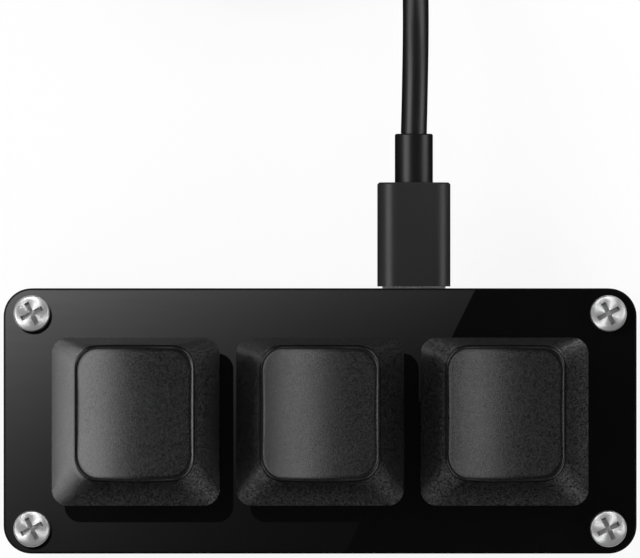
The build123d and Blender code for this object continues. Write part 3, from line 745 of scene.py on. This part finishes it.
def cross_cutter():
    """A cross, wide above and narrow at the bottom of the recess."""
    builder = bmesh.new()
    rings = []
    for share, height in ((RECESS_TAPER, -RECESS_DEPTH), (2 - RECESS_TAPER, RECESS_DEPTH)):
        span = RECESS_SPAN / 2 * share
        arm = RECESS_ARM / 2 * share
        ring = []
        for turn in range(4):
            for corner in (Vector((span, -arm)), Vector((span, arm)), Vector((arm, arm))):
                place = Matrix.Rotation(RECESS_TURN + turn * pi / 2, 2) @ corner
                ring.append(builder.verts.new((*place, SCREW_HEAD_HEIGHT + height)))
        rings.append(ring)
    bridge(builder, *rings)
    for ring in rings:
        builder.faces.new(ring)
    return builder


def plain_object(name, builder):
    """A helper object that isn't kept."""
    mesh = bpy.data.meshes.new(name)
    bmesh.ops.recalc_face_normals(builder, faces=builder.faces)
    builder.to_mesh(mesh)
    builder.free()
    helper = bpy.data.objects.new(name, mesh)
    bpy.context.collection.objects.link(helper)
    return helper


def screw_mesh():
    """The head with its cross recess cut out."""
    head = plain_object("screw_blank", screw_head())
    cutter = plain_object("screw_cutter", cross_cutter())
    cut = head.modifiers.new("recess", "BOOLEAN")
    cut.operation = "DIFFERENCE"
    cut.solver = "EXACT"
    cut.object = cutter
    bpy.context.view_layer.update()
    evaluated = head.evaluated_get(bpy.context.evaluated_depsgraph_get())
    mesh = bpy.data.meshes.new_from_object(evaluated)
    bpy.data.objects.remove(head)
    bpy.data.objects.remove(cutter)
    mesh.materials.clear()
    mesh.materials.append(MATERIALS["screw_steel"])
    mesh.shade_smooth()
    mesh.set_sharp_from_angle(angle=SCREW_SMOOTH_ANGLE)
    return mesh


def make_screws(node, upright):
    """Four screws in place of a node's four, heads up or down."""
    screws = []
    low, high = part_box(node)
    seat = high.z - SCREW_HEAD_HEIGHT if upright else low.z + SCREW_HEAD_HEIGHT
    reach_x = (high.x - low.x) / 2 - SCREW_HEAD_RADIUS
    reach_y = (high.y - low.y) / 2 - SCREW_HEAD_RADIUS
    for number, (side_x, side_y) in enumerate(((-1, 1), (1, 1), (-1, -1), (1, -1)), 1):
        screw = bpy.data.objects.new(f"{node}_{number}", SCREW_MESH)
        bpy.context.collection.objects.link(screw)
        screw.location = (side_x * reach_x, side_y * reach_y, seat)
        if not upright:
            screw.rotation_euler.x = pi
        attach(screw, "case")
        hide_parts(node)
        screws.append(screw)
    return screws


SCREW_MESH = screw_mesh()
top_screws = make_screws("top_screws", True)
make_screws("bottom_screws", False)

# Springs
SPRING_WIRE = 0.3 * MM
SPRING_TURNS = 5
SPRING_POINTS_PER_TURN = 28
WIRE_SIDES = 10


def make_spring(number):
    """Round-wire spring in a switch, kept at its rest length on the case."""
    node = f"switch_spring_{number}"
    low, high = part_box(node)
    middle_x = (low.x + high.x) / 2
    radius = (high.y - low.y - SPRING_WIRE) / 2
    foot = low.z + SPRING_WIRE / 2
    rise = high.z - low.z - SPRING_WIRE
    count = SPRING_TURNS * SPRING_POINTS_PER_TURN
    upward = Vector((0, 0, 1))
    builder = bmesh.new()
    rings = []
    for step in range(count + 1):
        angle = 2 * pi * step / SPRING_POINTS_PER_TURN
        outward = Vector((cos(angle), sin(angle), 0))
        centre = Vector((middle_x, 0, foot + rise * step / count)) + outward * radius
        ring = []
        for side in range(WIRE_SIDES):
            turn = 2 * pi * side / WIRE_SIDES
            place = centre + SPRING_WIRE / 2 * (outward * cos(turn) + upward * sin(turn))
            ring.append(builder.verts.new(place))
        rings.append(ring)
    for lower, upper in zip(rings, rings[1:]):
        bridge(builder, lower, upper)
    builder.faces.new(rings[0])
    builder.faces.new(rings[-1])
    spring = new_piece(f"spring_wire_{number}", builder, "shell_steel", "case")
    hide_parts(node)
    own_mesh(spring)


for key_number in range(1, KEY_COUNT + 1):
    make_spring(key_number)

# Strap round the coil
STRAP_THICKNESS = 0.8 * MM
STRAP_CORNER = 1.6 * MM
STRAP_EDGE = 0.25 * MM
STRAP_EDGE_STEPS = 4

# The strap's lapped end: along the top from its left edge, and how high over it
FLAP_PATH_MM = [(0.4, -0.3), (1.2, 0.28), (2.2, 0.4), (4.4, 0.4), (6.2, 0.36), (6.6, 0.3)]


def make_strap():
    """A woven strap wound round the coil, with soft edges and its end laid over the start."""
    low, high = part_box("cord_tie")
    middle = (low + high) / 2
    half = (high - low) / 2
    builder = bmesh.new()
    section = []
    for turn in range(4):
        side_out = 1 if turn in (0, 3) else -1
        side_along = 1 if turn in (0, 1) else -1
        for step in range(STRAP_EDGE_STEPS + 1):
            angle = (turn + step / STRAP_EDGE_STEPS) * pi / 2
            section.append((side_out * (STRAP_THICKNESS / 2 - STRAP_EDGE) + STRAP_EDGE * cos(angle),
                            side_along * (half.y - STRAP_EDGE) + STRAP_EDGE * sin(angle)))
    rings = []
    for out, along in section:
        inset = STRAP_THICKNESS / 2 - out
        loop = rounded_outline(half.x - inset, half.z - inset, STRAP_CORNER - inset)
        ring = []
        for point in loop:
            ring.append(builder.verts.new((middle.x + point.x, middle.y + along, middle.z + point.y)))
        rings.append(ring)
    for number, ring in enumerate(rings):
        bridge(builder, ring, rings[(number + 1) % len(rings)])
    flap = []
    for run, rise in FLAP_PATH_MM:
        flap.append([builder.verts.new((low.x + run * MM, middle.y + along, high.z + rise * MM + out))
                     for out, along in section])
    for lower, upper in zip(flap, flap[1:]):
        bridge(builder, lower, upper)
    builder.faces.new(flap[0])
    builder.faces.new(flap[-1])
    strap = new_piece("cord_strap", builder, "tie_fabric", "case")
    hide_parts("cord_tie")
    return strap


cord_strap = make_strap()

# Stage and light
FLOOR_SIZE = 12
FLOOR_GLOW_SHARE = 0.87
FLOOR_CLOUD = 40 * MM
FLOOR_DARK = (0.86, 0.86, 0.86)
FLOOR_LIGHT = (0.9, 0.9, 0.9)


def floor_material():
    """White paper: it glows for the eye, which sees a light shadow on it, and is plain white in mirrors."""
    material, shader = new_material("floor_white", {"Roughness": 0.9, "Specular IOR Level": 0.1})
    place = object_place(material)
    paper = noise(material, place, FLOOR_CLOUD, 3)
    link(material, tint(material, paper, FLOOR_DARK, FLOOR_LIGHT), shader, "Base Color")
    path = add_node(material, "ShaderNodeLightPath", {}, {})
    mirrored = add_node(material, "ShaderNodeMath", {"operation": "ADD", "use_clamp": True},
                        {0: path.outputs["Is Glossy Ray"],
                         1: path.outputs["Is Transmission Ray"]}).outputs["Value"]
    share = add_node(material, "ShaderNodeMath", {"operation": "MULTIPLY_ADD", "use_clamp": True},
                     {0: path.outputs["Is Camera Ray"], 1: FLOOR_GLOW_SHARE, 2: mirrored}).outputs["Value"]
    glow = add_node(material, "ShaderNodeEmission", {}, {"Color": (1, 1, 1, 1), "Strength": 1.0})
    mix = add_node(material, "ShaderNodeMixShader", {},
                   {0: share, 1: shader.outputs["BSDF"], 2: glow.outputs["Emission"]})
    output = material.node_tree.nodes["Material Output"]
    material.node_tree.links.new(mix.outputs["Shader"], output.inputs["Surface"])
    return material


def make_floor():
    """The plane that the keypad stands on."""
    builder = bmesh.new()
    half = FLOOR_SIZE / 2
    corners = [(-half, -half), (half, -half), (half, half), (-half, half)]
    builder.faces.new([builder.verts.new((x, y, 0)) for x, y in corners])
    mesh = bpy.data.meshes.new("floor")
    builder.to_mesh(mesh)
    builder.free()
    mesh.materials.append(floor_material())
    plane = bpy.data.objects.new("floor", mesh)
    bpy.context.collection.objects.link(plane)
    return plane


floor = make_floor()


def leaning(turn, lean):
    """The way that leans from straight up, towards a turn about Z, both in degrees."""
    level = sin(radians(lean))
    return Vector((level * cos(radians(turn)), level * sin(radians(turn)), cos(radians(lean))))


def aim(lamp, place, target):
    """Put a lamp in place and turn it to its target."""
    lamp.location = place
    lamp.rotation_mode = "QUATERNION"
    lamp.rotation_quaternion = (Vector(target) - Vector(place)).to_track_quat("-Z", "Y")


def light_only(lamp, pieces, state="INCLUDE"):
    """Keep a lamp's light to some pieces, or off them, as a flag or a snoot does."""
    receivers = bpy.data.collections.new(lamp.name + "_receivers")
    for piece in pieces:
        receivers.objects.link(piece)
    for member in receivers.collection_objects:
        member.light_linking.link_state = state
    lamp.light_linking.receiver_collection = receivers


def softbox(name, place, target, size_x, size_y, radiance):
    """A rectangular lamp of even brightness."""
    data = bpy.data.lights.new(name, "AREA")
    data.shape = "RECTANGLE"
    data.size = size_x
    data.size_y = size_y
    data.energy = radiance * pi * size_x * size_y
    lamp = bpy.data.objects.new(name, data)
    bpy.context.collection.objects.link(lamp)
    aim(lamp, place, target)
    lamp.visible_camera = False
    return lamp


ROOM_LIGHT = 0.28
ROOM_MIRRORED = 0.03


def make_world():
    """Even room light, dark where it would only show as a mirror image."""
    world = bpy.data.worlds.new("room")
    bpy.context.scene.world = world
    world.use_nodes = True
    background = world.node_tree.nodes["Background"]
    background.inputs["Color"].default_value = (1, 1, 1, 1)
    path = add_node(world, "ShaderNodeLightPath", {}, {})
    strength = add_node(world, "ShaderNodeMath", {"operation": "MULTIPLY_ADD"}, {
        0: path.outputs["Is Glossy Ray"], 1: ROOM_MIRRORED - ROOM_LIGHT, 2: ROOM_LIGHT}).outputs["Value"]
    world.node_tree.links.new(strength, background.inputs["Strength"])


make_world()
key_middle = Vector((0, 0, 25)) * MM
cable_middle = Vector((10, 35, 10)) * MM
top_plate = frame["nodes"]["top_plate"]
cable_pieces = [cord_line, frame["nodes"]["usb_plug_body"], frame["nodes"]["usb_plug_collar"]]
metal_pieces = top_screws + [frame["nodes"]["usb_plug_shell"], frame["nodes"]["usb_socket_shell"]]

# The glossy black pieces mirror a dark studio in place of the white floor
light_only(floor, [top_plate] + keycaps + cable_pieces, "EXCLUDE")

# Lamps for the body: place, size and brightness
ROOM_LAMPS = [
    ("key_left", (-0.80, 0.20, 0.62), 0.5, 8.0),
    ("fill_right", (0.95, -0.10, 0.31), 0.4, 4.0),
]
for name, lamp_place, size, radiance in ROOM_LAMPS:
    room_lamp = softbox(name, lamp_place, key_middle, size, size, radiance)
    light_only(room_lamp, keycaps + cable_pieces + top_screws, "EXCLUDE")

# Lamps on both sides of the cable: place, two sizes and brightness
CABLE_LAMPS = [
    ("cable_left", (-0.72, 0.035, 0.70), 0.6, 0.6, 3.1),
    ("cable_right", (0.95, 0.035, 0.31), 0.25, 0.6, 2.9),
]
for name, lamp_place, size_x, size_y, radiance in CABLE_LAMPS:
    cable_lamp = softbox(name, lamp_place, cable_middle, size_x, size_y, radiance)
    light_only(cable_lamp, cable_pieces)

# Softboxes over the dished key tops: how far each leans to the right, its width and its brightness
DISH_LAMPS = [(31, 0.5, 5.8), (12.6, 0.26, 4.3), (16.8, 0.24, 3.3)]
DISH_LAMP_REACH = 0.77
DISH_LAMP_LENGTH = 0.5
KEY_TOP = 28 * MM
for keycap, (lean, width, radiance) in zip(keycaps, DISH_LAMPS):
    over_key = Vector((sum(corner[0] for corner in keycap.bound_box) / 8, 0, KEY_TOP))
    lamp_place = over_key + DISH_LAMP_REACH * leaning(0, lean)
    dish_lamp = softbox("dish_" + keycap.name, lamp_place, over_key, DISH_LAMP_LENGTH, width, radiance)
    light_only(dish_lamp, [keycap])

# A light strip of floor at the left, which the keycaps' left sides mirror
STRIP_PLACE = Vector((-78, 0, 1)) * MM
STRIP_SIZE = (0.08, 0.06)
STRIP_RADIANCE = 1.35
left_floor = softbox("left_floor", STRIP_PLACE, STRIP_PLACE + Vector((0, 0, 1)), *STRIP_SIZE, STRIP_RADIANCE)
light_only(left_floor, keycaps)

# Large low softboxes at the room's corners, which model the sides: where each stands and its brightness
CORNER_LAMPS = [(45, 1.9), (135, 1.9), (225, 1.5), (315, 1.7)]
CORNER_LAMP_LEAN = 70
CORNER_LAMP_REACH = 1.0
CORNER_LAMP_SIZE = (1.0, 0.6)
for turn, radiance in CORNER_LAMPS:
    lamp_place = key_middle + leaning(turn, CORNER_LAMP_LEAN) * CORNER_LAMP_REACH
    corner_lamp = softbox(f"corner_{turn}", lamp_place, key_middle, *CORNER_LAMP_SIZE, radiance)
    light_only(corner_lamp, top_screws, "EXCLUDE")

# Softboxes for the keycaps' skirts, which leave no mirror image: place, the keycaps lit and brightness
SIDE_LAMPS = [
    ("front", (0, -1, 0.12), keycaps, 19.0),
    ("right", (1, 0, 0.12), keycaps[2:], 18.0),
    ("right_high", (1, 0, 0.5), keycaps[:1], 15.0),
    ("left", (-1, 0, 0.3), keycaps[1:], 18.0),
    ("back", (0, 1, 0.12), keycaps[2:], 20.0),
]
SIDE_LAMP_SIZE = (0.6, 0.3)
for side, lamp_place, lit_keycaps, radiance in SIDE_LAMPS:
    side_lamp = softbox("side_" + side, lamp_place, key_middle, *SIDE_LAMP_SIZE, radiance)
    side_lamp.visible_glossy = False
    light_only(side_lamp, lit_keycaps)

# A wide soft light from above, which leaves no mirror image either
TOP_FILL_MIDDLE = Vector((0, 0.05, 0))
TOP_FILL_RISE = Vector((0, 0, 1.6))
TOP_FILL_SIZE = 2.4
TOP_FILL_RADIANCE = 0.35
top_fill = softbox("top_fill", TOP_FILL_MIDDLE + TOP_FILL_RISE, TOP_FILL_MIDDLE,
                   TOP_FILL_SIZE, TOP_FILL_SIZE, TOP_FILL_RADIANCE)
top_fill.visible_glossy = False

# Lamps for the bare metal alone, a soft sky and two small ones that fan out over the turned screw heads:
# turn, lean, size and brightness
METAL_LAMPS = [
    ("metal_sky", 0, 0, 0.9, 0.45),
    ("metal_left", 150, 22, 0.12, 24.0),
    ("metal_back", 60, 22, 0.12, 16.0),
]
METAL_LAMP_REACH = 0.85
for name, turn, lean, size, radiance in METAL_LAMPS:
    metal_lamp = softbox(name, leaning(turn, lean) * METAL_LAMP_REACH, (0, 0, 0), size, size, radiance)
    light_only(metal_lamp, metal_pieces)

# Plate lamp: a hard beam from the upper left, flagged along a slanting line and fading to the front right
BEAM_WAY = Vector((-1.5, 1.77, 6.2)).normalized()
BEAM_REACH = 0.6
BEAM_POWER = 97
FLAG_LINE_PX = ((476, 288), (345, 553))
FADE_PER_METRE = Vector((34.4, -67.0))
FADE_PER_AREA = 850


def make_beam():
    """Point lamp whose strength depends on where its rays meet the plate."""
    data = bpy.data.lights.new("plate_beam", "POINT")
    data.shadow_soft_size = 0
    data.energy = BEAM_POWER
    data.use_nodes = True
    lamp = bpy.data.objects.new("plate_beam", data)
    bpy.context.collection.objects.link(lamp)
    lamp.location = Vector((0, 0, PLATE_TOP)) + BEAM_WAY * BEAM_REACH
    emission = data.node_tree.nodes["Emission"]
    way = add_node(data, "ShaderNodeTexCoord", {}, {}).outputs["Normal"]
    parts = add_node(data, "ShaderNodeSeparateXYZ", {}, {0: way})
    drop = lamp.location.z - PLATE_TOP

    def landing(axis, start):
        """Where a ray meets the plate, along one axis."""
        slope = add_node(data, "ShaderNodeMath", {"operation": "DIVIDE"},
                         {0: parts.outputs[axis], 1: parts.outputs["Z"]}).outputs["Value"]
        return add_node(data, "ShaderNodeMath", {"operation": "MULTIPLY_ADD"},
                        {0: slope, 1: -drop, 2: start}).outputs["Value"]

    place = add_node(data, "ShaderNodeCombineXYZ", {}, {
        "X": landing("X", lamp.location.x), "Y": landing("Y", lamp.location.y)}).outputs["Vector"]

    def measure(way, start):
        """How far a landing place lies along a way on the plate."""
        offset = add_node(data, "ShaderNodeVectorMath", {"operation": "SUBTRACT"},
                          {0: place, 1: start})
        return add_node(data, "ShaderNodeVectorMath", {"operation": "DOT_PRODUCT"},
                        {0: offset.outputs["Vector"], 1: way}).outputs["Value"]

    back_end, front_end = (plate_place(*pixel) for pixel in FLAG_LINE_PX)
    along = (back_end - front_end).normalized()
    past_line = measure((-along.y, along.x, 0), (back_end.x, back_end.y, 0))
    lit = add_node(data, "ShaderNodeMath", {"operation": "GREATER_THAN"},
                   {0: past_line, 1: 0.0}).outputs["Value"]
    low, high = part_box("top_plate")
    corner = (low.x, high.y, 0)
    fade = measure((-FADE_PER_METRE.x, -FADE_PER_METRE.y, 0), corner)
    area = add_node(data, "ShaderNodeMath", {"operation": "MULTIPLY"},
                    {0: measure((1, 0, 0), corner), 1: measure((0, 1, 0), corner)}).outputs["Value"]
    fade = add_node(data, "ShaderNodeMath", {"operation": "MULTIPLY_ADD"},
                    {0: area, 1: FADE_PER_AREA, 2: fade}).outputs["Value"]
    fade = add_node(data, "ShaderNodeMath", {"operation": "EXPONENT"}, {0: fade}).outputs["Value"]
    strength = add_node(data, "ShaderNodeMath", {"operation": "MULTIPLY"},
                        {0: lit, 1: fade}).outputs["Value"]
    data.node_tree.links.new(strength, emission.inputs["Strength"])
    light_only(lamp, [top_plate])


make_beam()
bpy.context.scene.view_settings.view_transform = "Standard"
